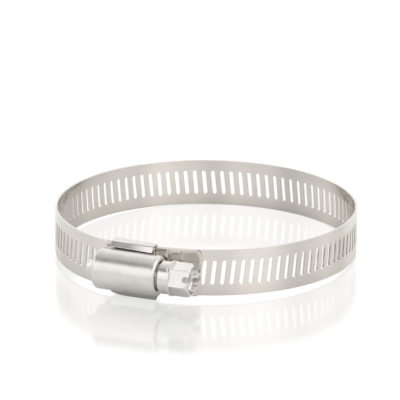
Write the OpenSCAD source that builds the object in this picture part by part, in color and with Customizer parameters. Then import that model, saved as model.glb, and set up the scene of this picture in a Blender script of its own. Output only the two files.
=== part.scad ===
// Worm-drive hose clamp: a perforated band, the screw housing, the saddle that holds both, and
// the hex-head worm screw. Millimetres. The loop's axis is Z, the housing is at -Y, and the screw
// lies along X with its head at +X. The band is one strip on the real object. It is divided at
// webs between slots, so that the loop can close as the screw draws its free end in.

/* [Loop] */
// Outside diameter of the round loop
loop_d = 80.9; // [79.9:0.1:81.9]
// Width of the band
band_w = 12.7; // [11.7:0.1:13]
// Thickness of the band
band_t = 0.6; // [0.5:0.05:0.65]

/* [Slots] */
// Distance from slot to slot along the band, which is also the thread's pitch
slot_pitch = 2.564; // [2.55:0.002:2.58]
// Width of a slot
slot_w = 1.1; // [1.05:0.05:1.2]
// Length of a slot over its round ends
slot_len = 6.8; // [6:0.1:7.2]
// How far each slot leans, in degrees
slot_lean = 6; // [5:0.5:7]
// Shift of the whole row of slots along the band
slot_shift = 0.78; // [0.7:0.01:0.85]

/* [Free end] */
// Radius of the band's path through the housing and of the tail
guide_r = 60; // [58:1:64]
// Where that path is farthest out, along X
guide_x = -3; // [-4:0.5:-2]
// How far the free end stands off the round loop there
guide_lift = 0.31; // [0.3:0.01:0.4]
// Radius of the bend just before the housing
entry_r = 13; // [12:1:15]
// Heading where the bend ends and the loop's left front begins, in degrees
entry_turn = 24.5; // [24:0.1:25]
// Radius of the loop's left front
front_r = 40.5; // [40.2:0.1:40.8]
// Radius of the flatter stretch between the left front and the round loop
ease_r = 80; // [70:1:90]
// Where the tail ends, along X
tail_x = 14.3; // [13:0.1:14.5]

/* [Screw housing] */
// Outside radius of the barrel
barrel_r = 5.5; // [5.4:0.1:5.6]
// Sheet thickness of the housing
sheet = 0.7; // [0.6:0.05:0.75]
// Left end of the barrel, along X
barrel_x0 = -12.7; // [-13.5:0.1:-12.5]
// Right end of the barrel, along X
barrel_x1 = 5.5; // [5.3:0.1:5.7]
// Radius of the turned-in edge at each end of the barrel
barrel_round = 1.1; // [0.9:0.1:1.2]

/* [Saddle] */
// Left end of the saddle's floor, along X
floor_x0 = -7; // [-7.5:0.1:-5]
// Width of the neck of the tab that locks the band's fixed end into the floor
tab_neck = 3.8; // [3:0.1:5]
// Width of that tab's head
tab_head = 8; // [7:0.1:9]
// Left end of the saddle, along X
saddle_x0 = -10; // [-10.2:0.1:-9]
// Right end of the saddle and its upper ear, along X
saddle_x1 = 2.1; // [1.9:0.1:2.6]
// Right end of the lower ear, along X
lower_x1 = 2.9; // [2.6:0.1:3.2]
// Slope of the upper ear, where it folds down onto the housing, in degrees
ear_slope = 60; // [50:1:65]
// Length of the sloping part of the upper ear
ear_len = 1.5; // [1:0.05:1.5]
// How much farther out the lower ear folds
lower_stand = 0.85; // [0.5:0.05:0.9]
// Slope of the lower ear, in degrees
lower_slope = 70; // [65:1:72]
// Length of the sloping part of the lower ear
lower_len = 2.25; // [1.8:0.05:2.25]

/* [Screw] */
// Distance of the screw's axis from the outside of the band
screw_stand = 3.79; // [3.77:0.01:3.85]
// Size across the flats of the hex head
head_af = 7.94; // [7.8:0.02:8]
// Length of the hex head
head_len = 5.35; // [4.5:0.05:5.5]
// Radius of the flange under the head
flange_r = 4.8; // [4.6:0.05:4.85]
// Radius of the thread's crest
thread_r = 4.3; // [4.25:0.01:4.35]
// Radius of the thread's root
root_r = 3.35; // [3.2:0.05:3.4]

/* [Hidden] */
$fn = 96;
far = 60;            // longer than anything it cuts
cut_gap = 0.05;      // gap between two sections of the band
play = 0.05;         // clearance between pieces that touch in use

// How far round the loop a stretch of band reaches, in degrees.
function sweep(run, r) = run * 180 / (PI * r);
// Length of a stretch of band.
function run(angle, r) = angle * PI * r / 180;
// From a point on the band towards the inside, where the band heads this far off the X axis.
function inward(heading) = [sin(heading), cos(heading)];

// The round loop, counted in slot pitches from the housing, counterclockwise from above
loop_r = loop_d / 2;
loop_mid = loop_r - band_t / 2;
step = sweep(slot_pitch, loop_mid);
shift = sweep(slot_shift, loop_mid);
tab_from = -1;
exit_at = 2;
back_at = 38;
left_at = 56;

// The free end's path: its lowest point is guide_x, and it comes in from the left
guide_out = loop_r + guide_lift + band_t;
guide_c = [guide_x, guide_r + band_t / 2 - guide_out];
entry_heading = 10;
entry_c = guide_c + (entry_r - guide_r) * inward(entry_heading);

// Each arc of the left side runs into the next, tangent to it
front_c = entry_c + (front_r - entry_r) * inward(entry_turn);
ease_off = ease_r - loop_mid;
front_off = ease_r - front_r;
loop_heading = 180 + atan2(-front_c.x, -front_c.y)
    - acos((ease_off * ease_off + front_c * front_c - front_off * front_off)
        / (2 * ease_off * norm(front_c)));
ease_c = ease_off * inward(loop_heading);
front_heading = atan2(ease_c.x - front_c.x, ease_c.y - front_c.y);
join_at = floor((run(360 - loop_heading, loop_mid) - slot_shift) / slot_pitch);
join_turn = join_at * step + shift;

// Lengths along the band from the join, where the left side meets the back
loop_end = run(360 - join_turn - loop_heading, loop_mid);
ease_end = loop_end + run(loop_heading - front_heading, ease_r);
front_end = ease_end + run(front_heading - entry_turn, front_r);
entry_end = front_end + run(entry_turn - entry_heading, entry_r);
low_point = entry_end + run(entry_heading, guide_r);
tail_end = low_point + run(asin((tail_x - guide_x) / guide_r), guide_r);
hinge_slots = round((front_end + entry_end) / 2 / slot_pitch);
hinge_turn = sweep(hinge_slots * slot_pitch - front_end, entry_r) - entry_turn;
arc_step = 2;        // degrees between the points of an arc
tail_slots = floor((tail_end - 1) / slot_pitch);
tail_corner = 1.6;

// Housing and saddle, across the band
wing_y = -guide_out - play;
wing_z = band_w / 2 + play;
wing_x0 = barrel_x0 + 0.1;
wing_x1 = saddle_x1 + 0.1;
wall_z = wing_z + play;
tab_x0 = -1.5;
tab_x1 = 0.9;
fold_y = wing_y - sheet - 0.1;

// Screw
screw_y = -guide_out - screw_stand;
pilot_r = 2.1;
pilot_x = -15.5;
pilot_edge = 0.4;
worm_x0 = barrel_x0 + sheet + play;
worm_x1 = barrel_x1 - sheet - play;
worm_len = worm_x1 - worm_x0;
core_r = 3;
neck_r = 3.4;
collar_r = 4.4;
collar_x = 5.9;
collar_edge = 0.4;
flange_x = 8.8;
flange_t = 0.6;
flange_edge = 0.12;
head_x = flange_x + flange_t;
head_end = head_x + head_len;
head_corner = head_af / 2 / cos(30);
head_turn = 12;
rim_r = 3.9;
rim_drop = 1;
dish_r = 3.5;
dish_floor_r = 3;
dish_depth = 1.8;
notch_w = 1.5;
notch_depth = 1.7;
crest_half = 0.27;
flank = 0.33;        // flank's run along the axis for each millimetre of depth
crest_x = guide_x + (floor(low_point / slot_pitch) + 0.5) * slot_pitch - low_point;

// A point at an angle round c, counted from -Y, and the points after it on an arc.
function on_arc(c, r, angle) = c + r * [sin(angle), -cos(angle)];
function arc(c, r, from, to) = let (n = ceil((to - from) / arc_step))
    [for (i = [1 : n]) on_arc(c, r, from + i * (to - from) / n)];

// The free end's side of the strip, out by off from its mid-surface: first up to the hinge, then
// from the hinge to the end of the tail.
function entry_side(off) = concat(
    [on_arc([0, 0], loop_mid + off, join_turn + sweep(cut_gap / 2, loop_mid))],
    arc([0, 0], loop_mid + off, join_turn + sweep(cut_gap / 2, loop_mid), 360 - loop_heading),
    arc(ease_c, ease_r + off, -loop_heading, -front_heading),
    arc(front_c, front_r + off, -front_heading, -entry_turn),
    arc(entry_c, entry_r + off, -entry_turn, hinge_turn - sweep(cut_gap / 2, entry_r))
);
function free_side(off) = concat(
    [on_arc(entry_c, entry_r + off, hinge_turn + sweep(cut_gap / 2, entry_r))],
    arc(entry_c, entry_r + off, hinge_turn + sweep(cut_gap / 2, entry_r), -entry_heading),
    arc(guide_c, guide_r + off, -entry_heading, sweep(tail_end - low_point, guide_r))
);
function back_to_front(list) = [for (i = [len(list) - 1 : -1 : 0]) list[i]];

// A strip as wide as the band, between its outer and inner sides.
module strip(outer, inner) {
    linear_extrude(band_w, center = true) polygon(concat(outer, back_to_front(inner)));
}

// A stretch of the round loop, between two angles counted from -Y.
module round_strip(from, to) {
    rotate([0, 0, from - 90]) rotate_extrude(angle = to - from, $fn = 360)
        translate([loop_mid - band_t / 2, -band_w / 2]) square([band_t, band_w]);
}

// One slot's opening, on the outside of the band at -Y.
module slot() {
    rotate([90, 0, 0]) linear_extrude(4 * band_t, center = true) rotate([0, 0, -slot_lean]) {
        square([slot_w, slot_len - slot_w], center = true);
        for (end = [-1, 1]) translate([0, end * (slot_len - slot_w) / 2]) circle(d = slot_w, $fn = 24);
    }
}

// Puts its child on the band's mid-surface at an angle round a centre.
module around(c, r, angle) {
    translate([c.x, c.y, 0]) rotate([0, 0, angle]) translate([0, -r, 0]) children();
}

// Puts its child on the left side or the free end, this far along the band from the join.
module along(s) {
    if (s < loop_end) around([0, 0], loop_mid, join_turn + sweep(s, loop_mid)) children();
    else if (s < ease_end) around(ease_c, ease_r, sweep(s - loop_end, ease_r) - loop_heading) children();
    else if (s < front_end)
        around(front_c, front_r, sweep(s - ease_end, front_r) - front_heading) children();
    else if (s < entry_end) around(entry_c, entry_r, sweep(s - front_end, entry_r) - entry_turn) children();
    else around(guide_c, guide_r, sweep(s - entry_end, guide_r) - entry_heading) children();
}

// A section of the round loop between two webs.
module round_section(first, last) {
    gap = sweep(cut_gap / 2, loop_mid);
    difference() {
        round_strip(first * step + shift + gap, last * step + shift - gap);
        for (i = [max(first, 1) : last - 1])
            around([0, 0], loop_mid, (i + 0.5) * step + shift) slot();
    }
}

// The T-shaped tab on the band's fixed end, or with room round it, the window it locks into.
module lock_tab(room) {
    rotate([90, 0, 0]) linear_extrude(far) {
        translate([tab_x0 - room, -tab_head / 2 - room])
            square([tab_x1 - tab_x0 + 2 * room, tab_head + 2 * room]);
        translate([0, -tab_neck / 2 - room]) square([far, tab_neck + 2 * room]);
    }
}

module band_fixed_end() {
    color("silver") intersection() {
        round_section(tab_from, exit_at);
        union() {
            lock_tab(0);
            translate([saddle_x1 + play, -far, -far]) cube(2 * far);
        }
    }
}

module band_right() {
    color("silver") round_section(exit_at, back_at);
}

module band_back() {
    color("silver") round_section(back_at, left_at);
}

module band_left() {
    color("silver") round_section(left_at, join_at);
}

// The left front of the loop, up to the hinge just outside the housing.
module band_entry() {
    color("silver") difference() {
        strip(entry_side(band_t / 2), entry_side(-band_t / 2));
        for (i = [0 : hinge_slots - 1]) along((i + 0.5) * slot_pitch) slot();
    }
}

// Rounds off one corner of the tail.
module tail_corner_cut(side) {
    along(tail_end) rotate([90, 0, 0]) linear_extrude(4 * band_t, center = true)
        translate([-tail_corner, side * (band_w / 2 - tail_corner)]) difference() {
            translate([0, side * tail_corner - tail_corner]) square([2 * tail_corner, 2 * tail_corner]);
            circle(tail_corner);
            translate([-tail_corner, -2 * tail_corner]) square([tail_corner, 4 * tail_corner]);
            translate([0, -side * tail_corner - tail_corner])
                square([2 * tail_corner, 2 * tail_corner]);
        }
}

module band_free_end() {
    color("silver") difference() {
        strip(free_side(band_t / 2), free_side(-band_t / 2));
        for (i = [hinge_slots : tail_slots - 1]) along((i + 0.5) * slot_pitch) slot();
        for (side = [-1, 1]) tail_corner_cut(side);
    }
}

// One ear in section, across the band: the wall past the band's edge, which leans out by stand
// before its fold, and the part folded over.
module ear_section(stand, slope, length) {
    translate([0, wall_z]) polygon([
        [-loop_r + 2 * band_t, 0], [-loop_r + 2 * band_t, band_t], [-loop_r, band_t],
        [fold_y, stand + band_t], [fold_y, stand], [-loop_r, 0]
    ]);
    translate([fold_y, wall_z + stand]) {
        intersection() {
            circle(band_t, $fn = 48);
            translate([-band_t, 0]) square(band_t);
        }
        rotate([0, 0, slope]) translate([-length, 0]) square([length, band_t]);
    }
}

// The saddle's floor is bent to the loop and lies in one layer with the band's fixed end.
module saddle_floor() {
    intersection() {
        difference() {
            cylinder(r = loop_r, h = 2 * (wall_z + band_t), center = true, $fn = 360);
            cylinder(r = loop_r - band_t, h = 3 * band_w, center = true, $fn = 360);
            lock_tab(play);
        }
        translate([floor_x0, -far, -far]) cube([saddle_x1 - floor_x0, far, 2 * far]);
    }
}

// An ear over its length, above the band.
module ear(right_end, stand, slope, length) {
    difference() {
        translate([saddle_x0, 0, 0]) rotate([90, 0, 90])
            linear_extrude(right_end - saddle_x0) ear_section(stand, slope, length);
        cylinder(r = loop_r - band_t, h = far, $fn = 360);
    }
}

module saddle() {
    color("lightgray") {
        saddle_floor();
        ear(saddle_x1, 0, ear_slope, ear_len);
        mirror([0, 0, 1]) ear(lower_x1, lower_stand, lower_slope, lower_len);
    }
}

// Half the barrel's section, with both ends turned in.
module barrel_section(x0, x1, r, corner) {
    translate([0, x0 + corner]) square([r, x1 - x0 - 2 * corner]);
    translate([0, x0]) square([r - corner, x1 - x0]);
    for (x = [x0 + corner, x1 - corner]) translate([r - corner, x]) circle(corner, $fn = 48);
}

// Turns its outline round the screw's axis; the outline's Y becomes X.
module on_screw_axis() {
    translate([0, screw_y, 0]) rotate([0, 90, 0]) rotate_extrude() children();
}

module screw_housing() {
    color("silver") difference() {
        union() {
            on_screw_axis() intersection() {
                barrel_section(barrel_x0, barrel_x1, barrel_r, barrel_round);
                translate([0, -far]) square([far, 2 * far]);
            }
            translate([wing_x0, wing_y - sheet, -wing_z]) cube([wing_x1 - wing_x0, sheet, 2 * wing_z]);
        }
        on_screw_axis() intersection() {
            barrel_section(barrel_x0 + sheet, barrel_x1 - sheet, barrel_r - sheet, barrel_round - sheet);
            translate([0, -far]) square([far, 2 * far]);
        }
        translate([-far, screw_y, 0]) rotate([0, 90, 0]) cylinder(r = pilot_r + play, h = far);
        translate([0, screw_y, 0]) rotate([0, 90, 0]) cylinder(r = neck_r + play, h = far);
        translate([-far, wing_y, -far]) cube([2 * far, far, 2 * far]);
    }
}

// The thread's section across the screw: a helix of the tooth's outline, cut square.
module thread_section() {
    crest = 360 * crest_half / slot_pitch;
    base = crest + 360 * flank * (thread_r - root_r) / slot_pitch;
    root_steps = 16;
    root_step = (360 - 2 * base) / root_steps;
    polygon(concat(
        [for (a = [-crest, 0, crest]) thread_r * [cos(a), sin(a)]],
        [for (i = [0 : root_steps]) root_r * [cos(base + i * root_step), sin(base + i * root_step)]]
    ));
}

module worm() {
    turns = worm_len / slot_pitch;
    slices_per_turn = 16;
    translate([worm_x0, screw_y, 0]) rotate([90, 0, 90])
        rotate([0, 0, 360 * (worm_x0 - crest_x) / slot_pitch])
            linear_extrude(worm_len, twist = -360 * turns, slices = round(slices_per_turn * turns), $fn = 20)
                thread_section();
}

// Everything on the screw that is turned: pilot, core, neck, collar and flange.
module shank() {
    on_screw_axis() polygon([
        [0, pilot_x], [pilot_r - pilot_edge, pilot_x], [pilot_r, pilot_x + pilot_edge],
        [pilot_r, worm_x0 + sheet], [core_r, worm_x0 + 2 * sheet],
        [core_r, worm_x1 - sheet], [neck_r, worm_x1 - sheet],
        [neck_r, collar_x], [collar_r - collar_edge, collar_x], [collar_r, collar_x + collar_edge],
        [collar_r, flange_x], [flange_r - flange_edge, flange_x], [flange_r, flange_x + flange_edge],
        [flange_r, head_x - flange_edge], [flange_r - flange_edge, head_x], [0, head_x]
    ]);
}

module hex_head() {
    difference() {
        intersection() {
            translate([head_x - sheet / 2, screw_y, 0]) rotate([90, 0, 90]) rotate([0, 0, head_turn])
                cylinder(r = head_corner, h = head_len + sheet / 2, $fn = 6);
            on_screw_axis() polygon([
                [0, 0], [head_corner, 0], [head_corner, head_end - rim_drop],
                [rim_r, head_end], [0, head_end]
            ]);
        }
        on_screw_axis() polygon([
            [0, head_end - dish_depth], [dish_floor_r, head_end - dish_depth],
            [dish_r, head_end], [dish_r, head_end + 1], [0, head_end + 1]
        ]);
        translate([head_end - notch_depth, screw_y, 0]) rotate([head_turn + 150, 0, 0])
            translate([0, -far / 2, -notch_w / 2]) cube([far, far, notch_w]);
    }
}

module worm_screw() {
    color("gainsboro") {
        worm();
        shank();
        hex_head();
    }
}

band_fixed_end();
band_right();
band_back();
band_left();
band_entry();
band_free_end();
saddle();
screw_housing();
worm_screw();
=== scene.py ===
# Worm-drive hose clamp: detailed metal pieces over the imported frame. Works in millimetres and
# scales to metres as each mesh is made. +Z is the loop's axis, -Y the housing, +X the screw head.
import math

import bmesh
import bpy
import numpy as np
from mathutils import Matrix, Vector


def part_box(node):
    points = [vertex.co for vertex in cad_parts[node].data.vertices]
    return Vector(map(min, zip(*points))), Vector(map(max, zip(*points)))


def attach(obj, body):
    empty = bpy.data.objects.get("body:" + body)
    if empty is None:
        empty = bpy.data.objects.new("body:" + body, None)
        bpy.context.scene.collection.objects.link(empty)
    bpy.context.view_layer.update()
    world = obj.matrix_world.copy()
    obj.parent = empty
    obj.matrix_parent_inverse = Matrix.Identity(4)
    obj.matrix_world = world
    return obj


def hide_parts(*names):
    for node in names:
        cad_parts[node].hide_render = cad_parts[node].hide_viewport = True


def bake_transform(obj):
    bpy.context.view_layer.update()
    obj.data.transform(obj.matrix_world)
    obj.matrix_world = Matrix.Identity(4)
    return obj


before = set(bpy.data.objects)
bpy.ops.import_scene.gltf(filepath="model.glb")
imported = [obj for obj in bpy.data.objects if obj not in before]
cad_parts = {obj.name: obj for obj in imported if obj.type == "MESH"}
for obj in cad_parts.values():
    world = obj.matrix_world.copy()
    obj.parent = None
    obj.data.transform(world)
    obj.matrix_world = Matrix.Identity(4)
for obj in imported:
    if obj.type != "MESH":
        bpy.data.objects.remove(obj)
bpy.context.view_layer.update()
MM = 0.001


def node_box(name):
    """Lowest and highest corner of a CAD node, in millimetres."""
    lo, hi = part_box(name)
    return np.array(lo) / MM, np.array(hi) / MM


# ---------------------------------------------------------------- sizes from the frame
right_lo, right_hi = node_box("band_right")
saddle_lo, saddle_hi = node_box("saddle")
house_lo, house_hi = node_box("screw_housing")
screw_lo, screw_hi = node_box("worm_screw")
free_lo, free_hi = node_box("band_free_end")

BAND_T = 0.6
BAND_W = right_hi[2] - right_lo[2]
LOOP_R = right_hi[0]
LOOP_MID = LOOP_R - BAND_T / 2
PITCH, SHIFT = 2.564, 0.78     # slot to slot, and how far the whole row is shifted
SLOT_W, SLOT_LEN, SLOT_LEAN = 1.1, 6.8, math.radians(6)
# the webs where one body of the band ends and the next begins, in order along the band
EXIT_AT, BACK_AT, LEFT_AT, JOIN_AT, HINGE_AT = 2, 38, 56, 72, 93

# the free end's arc through the housing: its radius, lowest point and gap to the loop under it
GUIDE_R, GUIDE_X, GUIDE_LIFT = 60.0, -3.0, 0.31
GUIDE_OUT = LOOP_R + GUIDE_LIFT + BAND_T
GUIDE_C = np.array([GUIDE_X, GUIDE_R + BAND_T / 2 - GUIDE_OUT])
ENTRY_R, FRONT_R, EASE_R = 13.0, 40.5, 80.0
ENTRY_HEADING, ENTRY_TURN = math.radians(10), math.radians(24.5)
SHEET = 0.7             # thickness of the housing's sheet
PLAY = 0.05             # gap between parts that slide or lie on each other
SCREW_STAND = 3.79      # from the free end's outer face to the screw's axis
SCREW_Y = -GUIDE_OUT - SCREW_STAND
NEAR = 1e-3             # points closer than this along the band count as one


def inward(a):
    """Direction into the loop at angle a, counted from -Y towards the left."""
    return np.array([math.sin(a), math.cos(a)])


ENTRY_C = GUIDE_C + (ENTRY_R - GUIDE_R) * inward(ENTRY_HEADING)
FRONT_C = ENTRY_C + (FRONT_R - ENTRY_R) * inward(ENTRY_TURN)
EASE_OFF, FRONT_OFF = EASE_R - LOOP_MID, EASE_R - FRONT_R
LOOP_HEADING = math.pi + math.atan2(-FRONT_C[0], -FRONT_C[1]) - math.acos(
    (EASE_OFF**2 + FRONT_C @ FRONT_C - FRONT_OFF**2) / (2 * EASE_OFF * np.linalg.norm(FRONT_C)))
EASE_C = EASE_OFF * inward(LOOP_HEADING)
FRONT_HEADING = math.atan2(*(EASE_C - FRONT_C))

# The band's middle line as arcs: start along the band, start angle from -Y, centre, radius
LOOP_END = LOOP_MID * (2 * math.pi - LOOP_HEADING)
EASE_END = LOOP_END + EASE_R * (LOOP_HEADING - FRONT_HEADING)
FRONT_END = EASE_END + FRONT_R * (FRONT_HEADING - ENTRY_TURN)
ENTRY_END = FRONT_END + ENTRY_R * (ENTRY_TURN - ENTRY_HEADING)
ARCS = [
    (-1e9, None, np.zeros(2), LOOP_MID),
    (LOOP_END, -LOOP_HEADING, EASE_C, EASE_R),
    (EASE_END, -FRONT_HEADING, FRONT_C, FRONT_R),
    (FRONT_END, -ENTRY_TURN, ENTRY_C, ENTRY_R),
    (ENTRY_END, -ENTRY_HEADING, GUIDE_C, GUIDE_R),
]
LOW_POINT = ENTRY_END + GUIDE_R * ENTRY_HEADING
TAIL_END = LOW_POINT + GUIDE_R * math.asin((free_hi[0] - GUIDE_X) / GUIDE_R)


def web(i):
    """Where the i-th web between slots lies along the band."""
    return i * PITCH + SHIFT


def on_band(s):
    """Middle-line points (n,2), and the unit directions along the band and out of the loop."""
    s = np.asarray(s, float)
    ang, cx, cy, r = np.empty_like(s), np.empty_like(s), np.empty_like(s), np.empty_like(s)
    for start, a0, c, rad in ARCS:
        m = s >= start
        ang[m] = s[m] / rad if a0 is None else a0 + (s[m] - start) / rad
        cx[m], cy[m], r[m] = c[0], c[1], rad
    out = np.stack([np.sin(ang), -np.cos(ang)], -1)
    along = np.stack([np.cos(ang), np.sin(ang)], -1)
    return np.stack([cx, cy], -1) + r[:, None] * out, along, out


# ---------------------------------------------------------------- meshes
def new_mesh(name, verts, faces, normals=None, uv=None):
    """A smooth-shaded object from millimetre points; normals and uv are one for each face corner."""
    mesh = bpy.data.meshes.new(name)
    mesh.from_pydata((np.asarray(verts) * MM).tolist(), [], faces)
    mesh.polygons.foreach_set("use_smooth", np.ones(len(mesh.polygons), bool))
    if uv is not None:
        layer = mesh.uv_layers.new(name="along_band")
        layer.data.foreach_set("uv", np.asarray(uv, np.float32).ravel())
    mesh.update()
    if normals is not None:
        n = np.asarray(normals, float)
        n /= np.maximum(np.linalg.norm(n, axis=1, keepdims=True), 1e-12)
        mesh.normals_split_custom_set(n.tolist())
    ob = bpy.data.objects.new(name, mesh)
    bpy.context.scene.collection.objects.link(ob)
    return ob


EDGE = 0.1      # rounding of the band's stamped edges


def bent_strip(name, points, faces, cut):
    """Band stock from a flat pattern: points (along, across) and faces, counterclockwise.
    Edges of the pattern become rounded stamped edges, but plain ends where cut(a, b) says so."""
    pts = np.asarray(points, float)
    n = len(pts)
    use = {}
    for f in faces:
        for a, b in zip(f, f[1:] + f[:1]):
            use[(a, b)] = True
    rim = [(a, b) for a, b in use if (b, a) not in use]
    out = np.zeros((n, 2))
    count = np.zeros(n)
    ends = set()
    for a, b in rim:
        d = pts[b] - pts[a]
        e = np.array([d[1], -d[0]]) / np.linalg.norm(d)
        if cut(pts[a], pts[b]):
            ends.add((a, b))
            continue
        for v in (a, b):
            out[v] += e
            count[v] += 1
    length = np.linalg.norm(out, axis=1)
    some = count > 0
    unit = np.zeros((n, 2))
    unit[some] = out[some] / length[some, None]
    # a corner's inset is longer, so that both its edges move in by the same width
    mitre = np.ones(n)
    mitre[some] = count[some] / length[some]
    verts, uvs, rows = [], [], {}
    h = BAND_T / 2
    c45 = 1 - math.sqrt(0.5)
    levels = [("o", 1.0, h, (0, 1)), ("p", c45, h - EDGE * c45, (1, 1)), ("q", 0.0, h - EDGE, (1, 0)),
              ("r", 0.0, EDGE - h, (1, 0)), ("s", c45, EDGE * c45 - h, (1, -1)), ("t", 1.0, -h, (0, -1))]
    flat, offs, nrm = [], [], []
    for key, inset, off, tilt in levels:
        for i in range(n):
            if key not in "ot" and not some[i]:
                continue
            rows[(key, i)] = len(flat)
            flat.append(pts[i] - unit[i] * EDGE * inset * mitre[i])
            offs.append(off)
            nrm.append([unit[i][0] * tilt[0], unit[i][1] * tilt[0], tilt[1]])
    flat, offs, nrm = np.array(flat), np.array(offs), np.array(nrm)
    mid, along, outw = on_band(flat[:, 0])
    xyz = np.column_stack([mid + outw * offs[:, None], flat[:, 1]])
    world = (nrm[:, :1] * np.column_stack([along, np.zeros(len(flat))])
             + nrm[:, 1:2] * np.array([0, 0, 1.0])
             + nrm[:, 2:] * np.column_stack([outw, np.zeros(len(flat))]))
    quads, corner_n, corner_uv = [], [], []

    def add(ids, force=None):
        quads.append(ids)
        for i in ids:
            corner_n.append(world[i] if force is None else force)
            corner_uv.append((flat[i][0], flat[i][1] + (h - offs[i])))

    for f in faces:
        # with the loop's outside towards the viewer, along runs right and across runs up
        add([rows[("o", i)] for i in f])
        add([rows[("t", i)] for i in reversed(f)])
    keys = "opqrst"
    for a, b in rim:
        if (a, b) in ends:
            d = pts[b] - pts[a]
            e = np.array([d[1], -d[0]]) / np.linalg.norm(d)
            _, al, _ = on_band(pts[[a], 0])
            force = np.array([al[0][0] * e[0], al[0][1] * e[0], e[1]])
            ka = [rows[(k, a)] for k in keys if (k, a) in rows]
            kb = [rows[(k, b)] for k in keys if (k, b) in rows]
            add(ka + kb[::-1], force)
        else:
            for k0, k1 in zip(keys, keys[1:]):
                add([rows[(k0, b)], rows[(k0, a)], rows[(k1, a)], rows[(k1, b)]])
    return new_mesh(name, xyz, quads, corner_n, corner_uv)


class Pattern:
    """A flat pattern of quads whose shared points are merged."""

    def __init__(self):
        self.points, self.faces, self.where = [], [], {}

    def at(self, s, z):
        key = (round(float(s), 4), round(float(z), 4))
        if key not in self.where:
            self.where[key] = len(self.points)
            self.points.append((float(s), float(z)))
        return self.where[key]

    def face(self, *corners):
        ids = [self.at(*c) for c in corners]
        ids = [a for i, a in enumerate(ids) if a != ids[i - 1]]
        if len(set(ids)) > 2:
            self.faces.append(ids)

    def grid(self, ss, zs):
        for a, b in zip(ss, ss[1:]):
            for c, d in zip(zs, zs[1:]):
                self.face((a, c), (b, c), (b, d), (a, d))


HALF_W = BAND_W / 2
SIDE = [-2.85, -1.9, -0.95, 0.0, 0.95, 1.9, 2.85]    # rows that end on a slot's straight sides
BLOCK = 4.0                                         # half height of the block round a slot
COLUMNS = 6
ROWS = [BLOCK, 4.8, 5.6, HALF_W]


def slot_cell(p, i, start=None):
    """One pitch of the band with its slot; start moves the left border."""
    s0, s1 = web(i), web(i + 1)
    if start is not None:
        s0 = start
    mid = web(i + 0.5)
    columns = [s0 + (s1 - s0) * k / COLUMNS for k in range(COLUMNS + 1)]
    border = [(s1, z) for z in SIDE] + [(s, BLOCK) for s in reversed(columns)]
    border += [(s0, z) for z in reversed(SIDE)] + [(s, -BLOCK) for s in columns]
    r, straight = SLOT_W / 2, (SLOT_LEN - SLOT_W) / 2
    hole = [(r, z / SIDE[-1] * straight) for z in SIDE]
    turn = math.pi / (COLUMNS + 2)
    hole += [(r * math.cos(turn * k), straight + r * math.sin(turn * k)) for k in range(1, COLUMNS + 2)]
    hole += [(-x, -y) for x, y in hole]
    ca, sa = math.cos(SLOT_LEAN), math.sin(SLOT_LEAN)
    hole = [(mid + x * ca + y * sa, -x * sa + y * ca) for x, y in hole]
    for k in range(len(hole)):
        a, b = k - 1, k
        p.face(hole[a], border[a], border[b], hole[b])
    for sign in (1, -1):
        rows = sorted(sign * z for z in ROWS)
        p.grid(columns, rows)


JOIN_GAP = 0.04         # between the two ends at the loop's open joint


def band_piece(name, first, last, before=None, after=None):
    """Slot cells from first to last, with whatever before and after add; ends in between are cuts."""
    p = Pattern()
    if before:
        before(p)
    for i in range(first, last):
        slot_cell(p, i, FULL_FROM if before and i == first else None)
    if after:
        after(p, last)
    ends = [web(first)] * (before is None) + [web(last)] * (after is None)
    # at the open joint each end stops short, so that they stay clear as the loop closes
    away = JOIN_GAP / 2 if first == JOIN_AT else -JOIN_GAP / 2
    p.points = [(s + away, z) if abs(s - web(JOIN_AT)) < NEAR else (s, z) for s, z in p.points]

    def cut(a, b):
        return any(abs(a[0] - e) < JOIN_GAP and abs(b[0] - e) < JOIN_GAP for e in ends)

    return bent_strip(name, p.points, p.faces, cut)


# the T tab's head from left to right and its neck's half width; from FULL_FROM the band is full wide
TAB_HEAD, TAB_NECK = (-1.5, 0.9), 1.9
SADDLE_X1 = 2.1         # right end of the saddle, apart from its lower ear
FULL_FROM = SADDLE_X1 + PLAY
TAB_COLUMNS, NECK_COLUMNS = 7, 5


def locking_tab(p):
    """The T-shaped tab: its head as wide as the block, its neck between the middle rows."""
    head = np.linspace(TAB_HEAD[0], TAB_HEAD[1], TAB_COLUMNS)
    neck = np.linspace(TAB_HEAD[1], FULL_FROM, NECK_COLUMNS)
    p.grid(head, [-BLOCK] + SIDE + [BLOCK])
    p.grid(neck, [z for z in SIDE if abs(z) < TAB_NECK + NEAR])


TAIL_CORNER = 1.6       # radius of the tail's two corners
CORNER_STEPS = 8
FAN_WIDTH = 0.4         # most that the tail's first column, of triangles, takes up
TAIL_STEPS = 6


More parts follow.
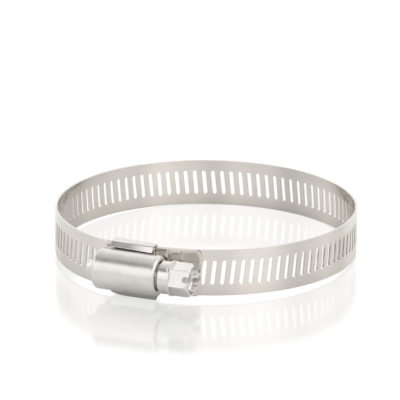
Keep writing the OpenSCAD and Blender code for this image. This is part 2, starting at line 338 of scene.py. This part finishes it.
def tail(p, last):
    """The plain end of the tail, with rounded corners."""
    s0 = web(last)
    full = sorted([-z for z in ROWS] + ROWS + SIDE)
    extra = [HALF_W - TAIL_CORNER * (1 - math.cos(a))
             for a in np.linspace(0, math.pi / 2, CORNER_STEPS + 1)]
    rows = sorted(set(round(z, 4) for z in [z for z in full if abs(z) < HALF_W - TAIL_CORNER]
                      + extra + [-z for z in extra]))
    flat_end = HALF_W - TAIL_CORNER

    def reach(z):
        over = max(0.0, abs(z) - flat_end)
        return TAIL_END - TAIL_CORNER + math.sqrt(max(0.0, TAIL_CORNER**2 - over**2))

    t0 = s0 + min(FAN_WIDTH, (TAIL_END - TAIL_CORNER - s0) / 2)
    # a first column takes the cells' rows to the tail's own rows, as triangles in a fan
    left = sorted(set(round(z, 4) for z in full))
    i = j = 0
    while i < len(left) - 1 or j < len(rows) - 1:
        if j == len(rows) - 1 or (i < len(left) - 1 and left[i + 1] <= rows[j + 1]):
            p.face((s0, left[i]), (t0, rows[j]), (s0, left[i + 1]))
            i += 1
        else:
            p.face((s0, left[i]), (t0, rows[j]), (t0, rows[j + 1]))
            j += 1

    def col(m, z):
        return t0 + (reach(z) - t0) * m / TAIL_STEPS

    for k in range(TAIL_STEPS):
        for a, b in zip(rows, rows[1:]):
            p.face((col(k, a), a), (col(k + 1, a), a), (col(k + 1, b), b), (col(k, b), b))


def point_on_band(s):
    """The band's middle line at s, in metres."""
    mid, _, _ = on_band(np.array([s]))
    return (mid[0][0] * MM, mid[0][1] * MM, 0.0)


def blend_at(ob, i, reach):
    """Bakes the piece's placement into its mesh; it finds the band's middle points reach to each side of
    the i-th web, but does not use them.
    """
    point_on_band(web(i) - reach)
    point_on_band(web(i) + reach)
    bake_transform(ob)


# ---------------------------------------------------------------- solids from distance functions
MARGIN_CELLS = 2.5      # how far the grid goes past the solid's box
PULL_STEPS = 4          # how often the corners are pulled onto the surface
SLOPE_STEP = 1e-3       # half the distance over which a slope is measured


def skin(name, solid, lo, hi, cell):
    """Meshes the surface where solid(points) is 0, and takes each corner's normal from its slope."""
    margin = MARGIN_CELLS * cell
    lo, hi = np.asarray(lo, float) - margin, np.asarray(hi, float) + margin
    count = np.ceil((hi - lo) / cell).astype(int) + 1
    axes = [lo[k] + cell * np.arange(count[k]) for k in range(3)]
    grid = np.stack(np.meshgrid(*axes, indexing="ij"), -1).astype(np.float32)
    v = solid(grid[..., 0], grid[..., 1], grid[..., 2]).astype(np.float32)
    inside = v < 0
    nx, ny, nz = v.shape
    total = np.zeros((nx - 1, ny - 1, nz - 1, 3), np.float32)
    hits = np.zeros((nx - 1, ny - 1, nz - 1), np.float32)

    def corner(a, dx, dy, dz):
        return a[dx:nx - 1 + dx, dy:ny - 1 + dy, dz:nz - 1 + dz]

    for axis in range(3):
        for u in (0, 1):
            for w in (0, 1):
                c0 = [u, w]
                c0.insert(axis, 0)
                c1 = [u, w]
                c1.insert(axis, 1)
                v0, v1 = corner(v, *c0), corner(v, *c1)
                m = (v0 < 0) != (v1 < 0)
                t = np.where(m, v0 / np.where(m, v0 - v1, 1), 0)
                for k in range(3):
                    total[..., k] += np.where(m, c0[k] if k != axis else t, 0)
                hits += m
    active = hits > 0
    index = np.full(active.shape, -1, np.int64)
    index[active] = np.arange(active.sum())
    ijk = np.argwhere(active)
    p = lo + cell * (ijk + total[active] / hits[active][:, None])

    def value(q):
        return solid(q[:, 0], q[:, 1], q[:, 2])

    def slope(q):
        steps = SLOPE_STEP * np.eye(3)
        return np.stack([value(q + e) - value(q - e) for e in steps], -1) / (2 * SLOPE_STEP)

    start = p.copy()
    for _ in range(PULL_STEPS):
        g = slope(p)
        move = -value(p)[:, None] * g / np.maximum((g * g).sum(1, keepdims=True), 1e-6)
        p = p + np.clip(move, -cell / 2, cell / 2)
    p = start + np.clip(p - start, -cell, cell)
    g = slope(p)
    quads = []
    for axis in range(3):
        o1, o2 = [k for k in range(3) if k != axis]
        a = [slice(1, -1)] * 3
        a[axis] = slice(0, -1)
        b = list(a)
        b[axis] = slice(1, None)
        s0, s1 = inside[tuple(a)], inside[tuple(b)]
        change = np.argwhere(s0 != s1)
        leaving = s0[s0 != s1]
        base = change.copy()
        cells = []
        for d1, d2 in ((0, 0), (1, 0), (1, 1), (0, 1)):
            c = base.copy()
            c[:, o1] += d1
            c[:, o2] += d2
            cells.append(index[c[:, 0], c[:, 1], c[:, 2]])
        q = np.stack(cells, -1)
        flip = leaving if axis != 1 else ~leaving
        q[~flip] = q[~flip][:, ::-1]
        quads.append(q)
    q = np.concatenate(quads)
    n = g[q.ravel()]
    return new_mesh(name, p, q.tolist(), n)


def round_union(a, b, k):
    """Both solids, with a fillet of radius k where they meet."""
    return np.maximum(k, np.minimum(a, b)) - np.hypot(np.maximum(k - a, 0), np.maximum(k - b, 0))


def round_common(a, b, k):
    """What two solids share, with its new edges rounded to radius k."""
    return np.minimum(-k, np.maximum(a, b)) + np.hypot(np.maximum(k + a, 0), np.maximum(k + b, 0))


def round_cut(a, b, k):
    """Solid a without b, with the cut's edges rounded to radius k."""
    return round_common(a, -b, k)


def slab(t, lo, hi):
    """Distance to the layer between two parallel faces."""
    return np.abs(t - (lo + hi) / 2) - (hi - lo) / 2


def soft_box(q, half, r):
    """Distance to a box with rounded edges; q and half are lists of coordinates and half sizes."""
    d = [np.abs(c) - (h - r) for c, h in zip(q, half)]
    far = np.sqrt(sum(np.maximum(c, 0) ** 2 for c in d))
    near = d[0]
    for c in d[1:]:
        near = np.maximum(near, c)
    return far + np.minimum(near, 0) - r


# screw housing
BARREL_R, BARREL_X = 5.5, (house_lo[0], house_hi[0])
BARREL_ROUND = 1.1
WING_Y = -GUIDE_OUT - PLAY      # the wings' face towards the band
WING_X = (BARREL_X[0] + 0.1, SADDLE_X1 + 0.1)
WING_Z = house_hi[2]
WING_CORNER, WING_EDGE, WING_FILLET = 0.6, 0.12, 0.55
INSIDE_EDGE, HOLE_EDGE, MOUTH_EDGE = 0.1, 0.12, 0.06
PILOT_R, NECK_R = 2.1, 3.4


def housing(x, y, z):
    """The barrel with its wings, open towards the band; the pilot's hole is on the left."""
    rho = np.hypot(y - SCREW_Y, z)
    mid, half = sum(BARREL_X) / 2, (BARREL_X[1] - BARREL_X[0]) / 2
    outer = soft_box([x - mid, rho], [half, BARREL_R], BARREL_ROUND)
    inner = soft_box([x - mid, rho], [half - SHEET, BARREL_R - SHEET], BARREL_ROUND - SHEET)
    wing = soft_box([x - sum(WING_X) / 2, z], [(WING_X[1] - WING_X[0]) / 2, WING_Z],
                    WING_CORNER)
    wing = round_common(wing, slab(y, WING_Y - SHEET, WING_Y), WING_EDGE)
    body = round_union(outer, wing, WING_FILLET)
    hole = np.where(x < mid, rho - PILOT_R - PLAY, rho - NECK_R - PLAY)
    body = round_cut(body, inner, INSIDE_EDGE)
    body = round_cut(body, hole, HOLE_EDGE)
    return round_common(body, y - WING_Y, MOUTH_EDGE)


# saddle
SADDLE_X = (saddle_lo[0], saddle_hi[0])
FLOOR_X0 = -7.0                     # left end of the saddle's floor; the walls go on from there
WALL_Z = saddle_hi[2] - BAND_T      # the walls' inner face
FOLD_Y = WING_Y - SHEET - 0.1       # where the ears fold over the wings
# the lower ear's stand falls off to the left of TAPER_X, by TAPER_SHARE over TAPER_RUN
TAPER_X, TAPER_RUN, TAPER_SHARE = -6.0, 4.0, 0.75
FLAP_REACH, FLAP_CORNER = 6.0, 0.5
FOLD_FILLET, EAR_EDGE, WALL_FILLET, WINDOW_EDGE = 0.05, 0.1, 0.2, 0.05
FLOOR_CORNER, FLOOR_DEPTH = 0.45, 5.0
FLOOR_PLAY = 0.2                    # how far the floor goes on into the walls' curve
# of each ear: how far its fold stands out, the slope of its flap at the left and right end,
# the flap's length, and where its right end lies
UPPER = (0.0, math.radians(48), math.radians(66), 1.5, SADDLE_X1)
LOWER = (0.85, math.radians(70), math.radians(70), 2.25, SADDLE_X[1])


def ear(x, y, az, stand, slope_left, slope_right, length, right_end):
    """One ear: the wall, leaning out by stand, and the part folded over, round their middle lines."""
    h = BAND_T / 2
    wz = WALL_Z + h
    # the fold comes in towards its left end
    lift = stand * (1 - TAPER_SHARE * np.clip((TAPER_X - x) / TAPER_RUN, 0, 1) ** 2)
    lean = np.arctan2(lift, -LOOP_R - FOLD_Y)
    level = np.where(y > -LOOP_R, az - wz, (az - wz) * np.cos(lean) + (y + LOOP_R) * np.sin(lean))
    wall = np.maximum(np.abs(level) - h, FOLD_Y - y)
    dy, dz = y - FOLD_Y, az - wz - lift
    # the fold's inner corner is the centre of the bend, so the flap lies outside it
    dz = dz + h
    share = np.clip((x - SADDLE_X[0]) / (right_end - SADDLE_X[0]), 0, 1)
    slope = slope_left + (slope_right - slope_left) * share**2
    along = -dy * np.cos(slope) - dz * np.sin(slope)
    off = dz * np.cos(slope) - dy * np.sin(slope)
    bend = np.maximum(np.maximum(np.hypot(dy, dz) - BAND_T, dy), -off)
    flap = np.maximum(np.abs(off - h) - h, np.abs(along - length / 2) - length / 2)
    body = round_union(wall, np.minimum(bend, flap), FOLD_FILLET)
    body = np.maximum(body, az - WALL_Z - BAND_T - lift)
    ends = soft_box([x - (SADDLE_X[0] + right_end) / 2, along - length + FLAP_REACH],
                    [(right_end - SADDLE_X[0]) / 2, FLAP_REACH], FLAP_CORNER)
    return round_common(body, ends, EAR_EDGE)


def saddle(x, y, z):
    """The strip under the band, with its window for the T tab, its walls and both ears."""
    az = np.abs(z)
    r = np.hypot(x, y)
    h = BAND_T / 2
    sides = np.where(z > 0, ear(x, y, az, *UPPER), ear(x, y, az, *LOWER))
    sides = np.maximum(sides, (LOOP_MID - h) - r)
    floor = np.maximum(np.abs(r - LOOP_MID) - h, az - WALL_Z - BAND_T)
    floor = np.maximum(np.maximum(floor, y), x - SADDLE_X1)
    low = soft_box([y + LOOP_MID + FLOOR_DEPTH - FLOOR_PLAY, az],
                   [FLOOR_DEPTH + h + FLOOR_PLAY, WALL_Z + BAND_T], FLOOR_CORNER)
    body = round_union(round_common(floor, low, 0.02), sides, WALL_FILLET)
    body = round_common(np.maximum(body, z - saddle_hi[2]), (LOOP_MID - h) - r, WINDOW_EDGE)
    # left of the floor only the walls and ears go on
    open_left = np.maximum(np.maximum(x - FLOOR_X0, az - WALL_Z), WING_Y - y)
    body = round_cut(body, open_left, HOLE_EDGE)
    window = np.minimum(
        np.maximum(slab(x, TAB_HEAD[0] - PLAY, TAB_HEAD[1] + PLAY), az - BLOCK - PLAY),
        np.maximum(-x, az - TAB_NECK - PLAY))
    window = np.maximum(window, r - LOOP_R - 0.3)
    return round_cut(body, window, WINDOW_EDGE)


# screw head, flange and collar
HEAD_AF, HEAD_END = 7.94, screw_hi[0]
HEAD_X, FLANGE_X, COLLAR_X = 9.4, 8.8, 5.9
FLANGE_R, COLLAR_R = 4.8, 4.4
FACET = math.radians(162)     # direction of the facet that the notch opens in
RIM_R, RIM_DROP = 3.9, 1.0
DISH_R, DISH_FLOOR_R, DISH_DEPTH = 3.5, 3.0, 1.8
NOTCH_W, NOTCH_DEPTH = 1.5, 1.7
NECK_END = 4.2                # left end of the neck, inside the housing
COLLAR_END = FLANGE_X + 0.4   # the collar goes on into the flange
HEX_EDGE, FACE_EDGE, RIM_EDGE, DISH_FILLET = 0.1, 0.06, 0.08, 0.5
FLANGE_EDGE, COLLAR_EDGE, HEAD_FILLET, NECK_FILLET = 0.14, 0.45, 0.12, 0.1


def head(x, y, z):
    """The hex head with its dish and notch, the flange, the collar and the neck."""
    dy = y - SCREW_Y
    rho = np.hypot(dy, z)
    hexa = None
    for k in range(3):
        a = FACET + k * math.pi / 3
        face = np.abs(dy * math.cos(a) + z * math.sin(a)) - HEAD_AF / 2
        hexa = face if hexa is None else round_common(hexa, face, HEX_EDGE)
    corner = HEAD_AF / 2 / math.cos(math.pi / 6)
    fall = RIM_DROP / (corner - RIM_R)
    cone = (x - HEAD_END + (rho - RIM_R) * fall) / math.hypot(1, fall)
    hexa = round_common(hexa, slab(x, HEAD_X - 1, HEAD_END), FACE_EDGE)
    hexa = round_common(hexa, cone, RIM_EDGE)
    wall = (DISH_R - DISH_FLOOR_R) / DISH_DEPTH
    dish = round_common((rho - DISH_R - (x - HEAD_END) * wall) / math.hypot(1, wall),
                        HEAD_END - DISH_DEPTH - x, DISH_FILLET)
    hexa = round_cut(hexa, dish, RIM_EDGE)
    across = -dy * math.sin(FACET) + z * math.cos(FACET)
    floor_x = HEAD_END - NOTCH_DEPTH + NOTCH_W / 2
    notch = np.where(x > floor_x, np.abs(across), np.hypot(across, x - floor_x)) - NOTCH_W / 2
    hexa = round_cut(hexa, notch, RIM_EDGE)
    flange = soft_box([x - (FLANGE_X + HEAD_X) / 2, rho],
                      [(HEAD_X - FLANGE_X) / 2, FLANGE_R], FLANGE_EDGE)
    collar = soft_box([x - (COLLAR_X + COLLAR_END) / 2, rho],
                      [(COLLAR_END - COLLAR_X) / 2, COLLAR_R], COLLAR_EDGE)
    neck = np.maximum(rho - NECK_R, slab(x, NECK_END, COLLAR_X + 0.6))
    return round_union(round_union(hexa, flange, HEAD_FILLET),
                       round_union(collar, neck, NECK_FILLET), HEAD_FILLET)


# ---------------------------------------------------------------- the worm and its pilot
AROUND = 96
ANGLES = np.arange(AROUND) * 2 * math.pi / AROUND


def turned(name, stations):
    """A solid round the screw's axis: each station is (x, radius at each angle)."""
    verts, faces = [], []
    for x, r in stations:
        r = np.broadcast_to(r, AROUND)
        ring = [np.full(AROUND, x), SCREW_Y + r * np.cos(ANGLES), r * np.sin(ANGLES)]
        verts += np.column_stack(ring).tolist()
    for i in range(len(stations) - 1):
        here, there = i * AROUND, (i + 1) * AROUND
        for j in range(AROUND):
            k = (j + 1) % AROUND
            faces.append([here + j, here + k, there + k, there + j])
    faces.append(list(range(AROUND))[::-1])
    faces.append([(len(stations) - 1) * AROUND + j for j in range(AROUND)])
    ob = new_mesh(name, verts, faces)
    flip_if_inside_out(ob)
    return ob


def flip_if_inside_out(ob):
    bm = bmesh.new()
    bm.from_mesh(ob.data)
    bmesh.ops.recalc_face_normals(bm, faces=bm.faces)
    bm.to_mesh(ob.data)
    bm.free()


THREAD_R, ROOT_R = 4.3, 3.35
CREST_HALF, FLANK = 0.27, 0.33      # half the crest's width, and the flank's run for each mm of depth
WORM_X = (BARREL_X[0] + SHEET + PLAY, BARREL_X[1] - SHEET - PLAY)
CREST_X = GUIDE_X + web(math.floor((LOW_POINT - SHIFT) / PITCH) + 0.5) - LOW_POINT


def thread_radius(x, a):
    """Radius of the worm at x and angle a, counted from +Y; the crest is at +Y where x is CREST_X."""
    off = (x - CREST_X) / PITCH + a / (2 * math.pi)
    off = np.abs(off - np.round(off)) * PITCH
    depth = np.clip((off - CREST_HALF) / FLANK, 0, THREAD_R - ROOT_R)
    return THREAD_R - depth


# the pilot's rounded tip: how far each ring lies from the tip, and how far inside the pilot's radius
PILOT_TIP = [(0.0, 0.9), (0.0, 0.4), (0.12, 0.2), (0.3, 0.06), (0.5, 0.0)]
THREAD_STEP = 0.08


def worm_stations():
    """The rings of the screw from the pilot's tip to the neck."""
    x0, x1 = WORM_X
    rings = [(screw_lo[0] + run, PILOT_R - drop) for run, drop in PILOT_TIP] + [(x0, PILOT_R)]
    steps = int((x1 - x0) / THREAD_STEP)
    for k in range(steps + 1):
        x = x0 + (x1 - x0) * k / steps
        rings.append((x, thread_radius(x, ANGLES)))
    return rings + [(x1, NECK_R)]


# ---------------------------------------------------------------- materials
NOISE_LOW, NOISE_HIGH = 0.35, 0.65      # the middle range that most of the noise lies in
BROAD_SHARE = 0.8                       # weight of the broad patches beside the fine brushing


def steel(name, color, rough, streak, uv=False, patches=(350, 350, 350), variation=0.04, bump=0.1,
          rough_spread=0.06):
    """Metal with fine brushing, drawn out along the axis that has the small streak scale, over broad
    soft patches that are a little lighter or darker."""
    m = bpy.data.materials.new(name)
    m.use_nodes = True
    nodes, links = m.node_tree.nodes, m.node_tree.links
    bsdf = nodes["Principled BSDF"]
    bsdf.inputs["Metallic"].default_value = 1.0
    coord = nodes.new("ShaderNodeTexCoord")
    source = coord.outputs["UV"] if uv else coord.outputs["Object"]
    stretch = nodes.new("ShaderNodeMapping")
    stretch.inputs["Scale"].default_value = streak
    links.new(source, stretch.inputs["Vector"])
    fine = nodes.new("ShaderNodeTexNoise")
    fine.inputs["Scale"].default_value = 1.0
    fine.inputs["Detail"].default_value = 3.0
    links.new(stretch.outputs["Vector"], fine.inputs["Vector"])
    widen = nodes.new("ShaderNodeMapping")
    widen.inputs["Scale"].default_value = patches
    links.new(source, widen.inputs["Vector"])
    broad = nodes.new("ShaderNodeTexNoise")
    broad.inputs["Scale"].default_value = 1.0
    broad.inputs["Detail"].default_value = 1.0
    links.new(widen.outputs["Vector"], broad.inputs["Vector"])
    mix = nodes.new("ShaderNodeMix")
    mix.data_type = "FLOAT"
    mix.inputs[0].default_value = BROAD_SHARE
    links.new(fine.outputs["Fac"], mix.inputs[2])
    links.new(broad.outputs["Fac"], mix.inputs[3])
    ramp = nodes.new("ShaderNodeValToRGB")
    low, high = ramp.color_ramp.elements
    low.position, high.position = NOISE_LOW, NOISE_HIGH
    low.color = [c * (1 - variation) for c in color] + [1]
    high.color = [min(1, c * (1 + variation)) for c in color] + [1]
    links.new(mix.outputs[0], ramp.inputs["Fac"])
    links.new(ramp.outputs["Color"], bsdf.inputs["Base Color"])
    gloss = nodes.new("ShaderNodeMapRange")
    gloss.inputs["From Min"].default_value = NOISE_LOW
    gloss.inputs["From Max"].default_value = NOISE_HIGH
    gloss.inputs["To Min"].default_value = rough - rough_spread / 2
    gloss.inputs["To Max"].default_value = rough + rough_spread / 2
    links.new(mix.outputs[0], gloss.inputs["Value"])
    links.new(gloss.outputs["Result"], bsdf.inputs["Roughness"])
    relief = nodes.new("ShaderNodeBump")
    relief.inputs["Strength"].default_value = bump
    relief.inputs["Distance"].default_value = 0.00003
    links.new(fine.outputs["Fac"], relief.inputs["Height"])
    links.new(relief.outputs["Normal"], bsdf.inputs["Normal"])
    return m


band_steel = steel("band_steel", (0.66, 0.625, 0.58), 0.12, (0.05, 4.0, 1), uv=True,
                   patches=(0.055, 0.006, 1), variation=0.18)
house_steel = steel("housing_steel", (0.67, 0.64, 0.61), 0.22, (100, 2500, 2500))
saddle_steel = steel("saddle_steel", (0.66, 0.64, 0.62), 0.22, (100, 2500, 2500), bump=0.2)
plated = steel("plated_steel", (0.69, 0.667, 0.65), 0.1, (2500, 600, 600), bump=0.05)


# ---------------------------------------------------------------- pieces
TAIL_SLOTS = math.floor((TAIL_END - SHIFT - 1) / PITCH)
# each piece of band: its name, first and last web, the body it rides on and a second body (a piece that
# has one rides on neither and is only baked in place), the web and the reach to each side given with it,
# the CAD nodes it stands for, and its special ends
band_spec = [
    ("band_front_right", 1, 20, "housing", "right", EXIT_AT, 3.0, ("band_fixed_end", "band_right"),
     locking_tab, None),
    ("band_right_back", 20, 47, "right", "back", BACK_AT, 14.0, ("band_back",), None, None),
    ("band_back_left", 47, 64, "back", "left", LEFT_AT, 14.0, (), None, None),
    ("band_left_side", 64, 72, "left", None, 0, 0, ("band_left",), None, None),
    ("band_left_front", 72, 82, "entry", None, 0, 0, ("band_entry",), None, None),
    ("band_free_tail", 82, TAIL_SLOTS, "entry", "free_end", HINGE_AT, 2.0, ("band_free_end",), None, tail),
]
for name, first, last, a, b, bend_at, reach, stands_for, before, after in band_spec:
    ob = band_piece(name, first, last, before, after)
    ob.data.materials.append(band_steel)
    if b:
        blend_at(ob, bend_at, reach)
    else:
        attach(ob, a)
    if stands_for:
        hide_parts(*stands_for)

SHEET_CELL, HEAD_CELL = 0.14, 0.1       # grid sizes of the meshed surfaces
ob = skin("barrel_housing", housing, house_lo, house_hi, SHEET_CELL)
ob.data.materials.append(house_steel)
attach(ob, "housing")
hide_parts("screw_housing")

ob = skin("saddle_clip", saddle, saddle_lo, saddle_hi, SHEET_CELL)
ob.data.materials.append(saddle_steel)
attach(ob, "housing")
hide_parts("saddle")

ob = skin("screw_head", head, [NECK_END, screw_lo[1], screw_lo[2]], screw_hi, HEAD_CELL)
ob.data.materials.append(plated)
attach(ob, "screw")
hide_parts("worm_screw")

ob = turned("screw_worm", worm_stations())
ob.data.materials.append(plated)
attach(ob, "screw")


# ---------------------------------------------------------------- floor, light and camera
FLOOR_HALF = 3000.0     # half the floor's size, in millimetres like every mesh
# it leans a little, so that both the saddle's lower ear and the far edge of the loop rest on it
rise = (saddle_lo[2] - right_lo[2]) / (FOLD_Y - LOOP_R)
corners = [(-1, -1, 0), (1, -1, 0), (1, 1, 0), (-1, 1, 0)]
floor = new_mesh("floor", FLOOR_HALF * np.array(corners), [[0, 1, 2, 3]])
floor.location.z = (right_lo[2] - LOOP_R * rise) * MM
floor.rotation_euler.x = math.atan(rise)
paper = bpy.data.materials.new("floor_white")
paper.use_nodes = True
nodes, links = paper.node_tree.nodes, paper.node_tree.links
matt = nodes["Principled BSDF"]
matt.inputs["Base Color"].default_value = (0.93, 0.93, 0.93, 1)
matt.inputs["Roughness"].default_value = 0.6
# seen directly, the floor is lit up to plain white, with a faint gloss
glow = nodes.new("ShaderNodeEmission")
glow.inputs["Color"].default_value = (1, 1, 1, 1)
glow.inputs["Strength"].default_value = 0.96
gloss = nodes.new("ShaderNodeBsdfGlossy")
gloss.inputs["Roughness"].default_value = 0.12
gloss.inputs["Color"].default_value = (1, 1, 1, 1)
lit = nodes.new("ShaderNodeMixShader")
lit.inputs["Fac"].default_value = 0.28
links.new(glow.outputs["Emission"], lit.inputs[1])
links.new(gloss.outputs["BSDF"], lit.inputs[2])
ray = nodes.new("ShaderNodeLightPath")
both = nodes.new("ShaderNodeMixShader")
links.new(ray.outputs["Is Camera Ray"], both.inputs["Fac"])
links.new(matt.outputs["BSDF"], both.inputs[1])
links.new(lit.outputs["Shader"], both.inputs[2])
links.new(both.outputs["Shader"], nodes["Material Output"].inputs["Surface"])
floor.data.materials.append(paper)

# The studio, by height above the horizon (sine of the elevation) and its brightness, in front and
# behind: bright all round up to two thirds, then a dark band in front, and a duller ceiling
FRONT = [(-0.2, 0.92), (0.0, 1.0), (0.15, 1.25), (0.6, 1.42), (0.72, 1.05), (0.79, 0.42), (0.88, 0.42),
         (0.95, 0.85)]
REAR = [(-0.2, 0.9), (0.1, 1.0), (0.35, 1.2), (0.7, 1.25), (0.85, 1.0), (0.95, 0.8)]
world = bpy.data.worlds.new("studio")
bpy.context.scene.world = world
world.use_nodes = True
nodes, links = world.node_tree.nodes, world.node_tree.links
direction = nodes.new("ShaderNodeTexCoord")
split = nodes.new("ShaderNodeSeparateXYZ")
links.new(direction.outputs["Generated"], split.inputs["Vector"])


# the ramp's colours stop at 1, so the brightness is divided by this and the background multiplied
SKY_STRENGTH = 2.0
SIDE_BLEND = 0.3        # front and rear pass into each other this far to each side


def by_height(stops):
    """Brightness of the studio by height, from the sky's own direction."""
    height = nodes.new("ShaderNodeMapRange")
    height.inputs["From Min"].default_value = -1.0
    links.new(split.outputs["Z"], height.inputs["Value"])
    ramp = nodes.new("ShaderNodeValToRGB")
    ramp.color_ramp.interpolation = "EASE"
    els = ramp.color_ramp.elements
    while len(els) < len(stops):
        els.new(0.5)
    for el, (z, bright) in zip(els, stops):
        el.position = (z + 1) / 2
        el.color = [bright / SKY_STRENGTH] * 3 + [1]
    links.new(height.outputs["Result"], ramp.inputs["Fac"])
    return ramp.outputs["Color"]


side = nodes.new("ShaderNodeMapRange")
side.interpolation_type = "SMOOTHSTEP"
side.inputs["From Min"].default_value = -SIDE_BLEND
side.inputs["From Max"].default_value = SIDE_BLEND
links.new(split.outputs["Y"], side.inputs["Value"])
sky = nodes.new("ShaderNodeMix")
sky.data_type = "RGBA"
links.new(side.outputs["Result"], sky.inputs[0])
links.new(by_height(FRONT), sky.inputs[6])
links.new(by_height(REAR), sky.inputs[7])
links.new(sky.outputs[2], nodes["Background"].inputs["Color"])
nodes["Background"].inputs["Strength"].default_value = SKY_STRENGTH


lamp = bpy.data.lights.new("top_light", "AREA")
lamp.size = 1.2
lamp.energy = 2.0
light = bpy.data.objects.new("top_light", lamp)
bpy.context.scene.collection.objects.link(light)
light.location = (0.9, 0.1, 1.2)
light.rotation_euler = (-light.location).to_track_quat("-Z", "Y").to_euler()

# The view: azimuth and elevation of the lens from the loop's lower centre, and its roll
AZIMUTH, ELEVATION, ROLL = math.radians(22.6), math.radians(18.11), math.radians(0.68)
DISTANCE = 1.404
FOCAL_PX, IMAGE_PX, SENSOR = 5153.0, 400.0, 36.0
TARGET_PX = (207.8, 248.2)        # where the loop's lower centre falls in the picture
centre = Vector((0, 0, right_lo[2] * MM))
right = Vector((math.cos(AZIMUTH), math.sin(AZIMUTH), 0))
back = Vector((math.sin(AZIMUTH) * math.cos(ELEVATION), -math.cos(AZIMUTH) * math.cos(ELEVATION),
               math.sin(ELEVATION)))
cam_data = bpy.data.cameras.new("camera")
cam_data.sensor_width = SENSOR
cam_data.lens = FOCAL_PX / IMAGE_PX * SENSOR
cam_data.clip_start = 0.01
cam_data.clip_end = 20
cam = bpy.data.objects.new("camera", cam_data)
bpy.context.scene.collection.objects.link(cam)
up = back.cross(right)
turn = Matrix((right, up, back)).transposed()
roll = Matrix.Rotation(ROLL, 3, "Z")
dx, dy = (TARGET_PX[0] - IMAGE_PX / 2) / FOCAL_PX, (TARGET_PX[1] - IMAGE_PX / 2) / FOCAL_PX
# the picture's centre looks this much to the side of the loop's lower centre
aim = Matrix.Rotation(math.atan(dx), 3, "Y") @ Matrix.Rotation(math.atan(dy), 3, "X")
cam.matrix_world = Matrix.Translation(centre + back * DISTANCE) @ (turn @ roll @ aim).to_4x4()
bpy.context.scene.camera = cam
bpy.context.scene.view_settings.view_transform = "Standard"
